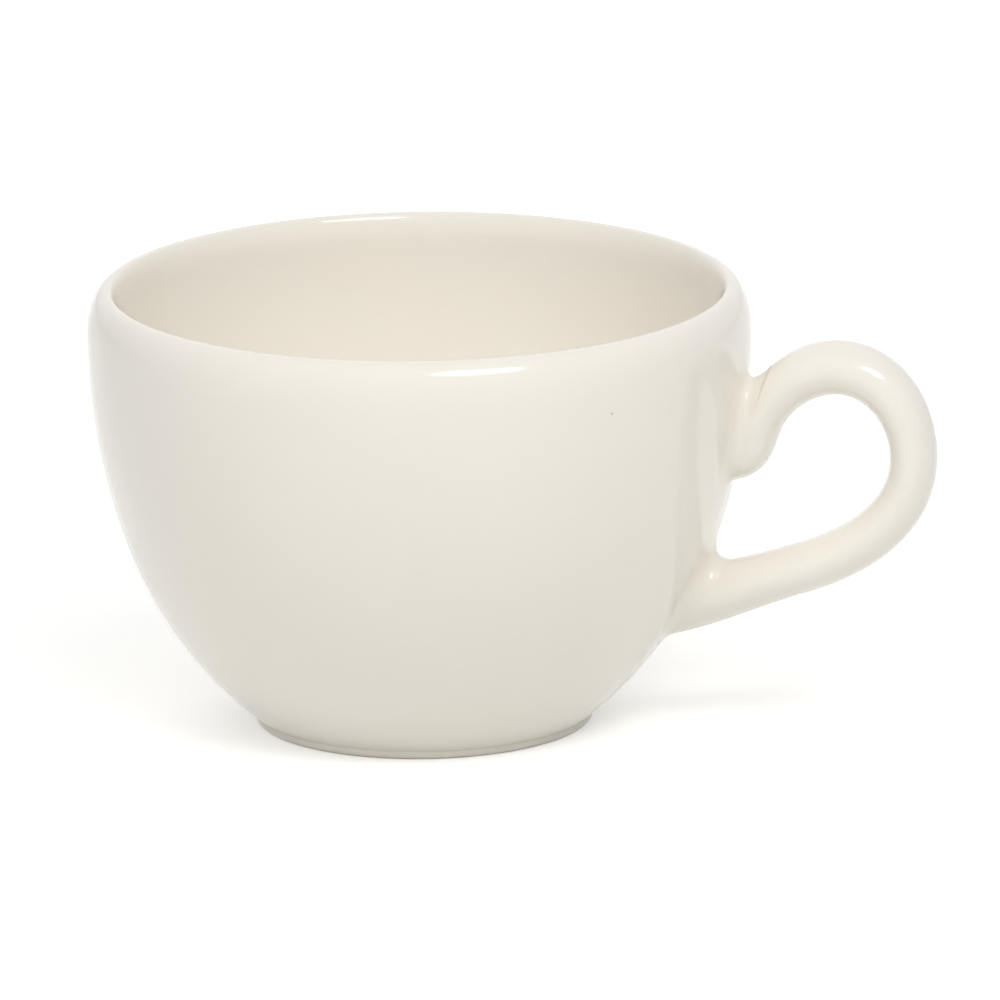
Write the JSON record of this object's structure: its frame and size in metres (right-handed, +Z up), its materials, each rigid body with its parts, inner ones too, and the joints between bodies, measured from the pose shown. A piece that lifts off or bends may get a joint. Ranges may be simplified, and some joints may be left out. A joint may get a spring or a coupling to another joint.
{
  "type": "cup",
  "caption": "Low ceramic cup with a thick rolled rim, a deep rounded bowl on a small foot ring, and a ring handle luted to its side.",
  "frame": {"origin": "on the axis of the bowl, in the plane that the foot ring stands on", "axes": "+Z up along the axis of the bowl, +X from the axis towards the handle, +Y to the left of somebody who looks along +X"},
  "size_m": [0.123, 0.0952, 0.0638],
  "materials": {
    "glazed_china": "clear gloss glaze over a warm ivory vitrified body, bare on the flat of the foot ring",
    "glazed_slip": "the same clear gloss glaze, pooled a little in the fillets round the roots of the handle"
  },
  "bodies": {
    "root": {"bowl": "glazed_china", "handle": "glazed_china", "upper_slip_joint": "glazed_slip", "lower_slip_joint": "glazed_slip"}
  },
  "joints": []
}
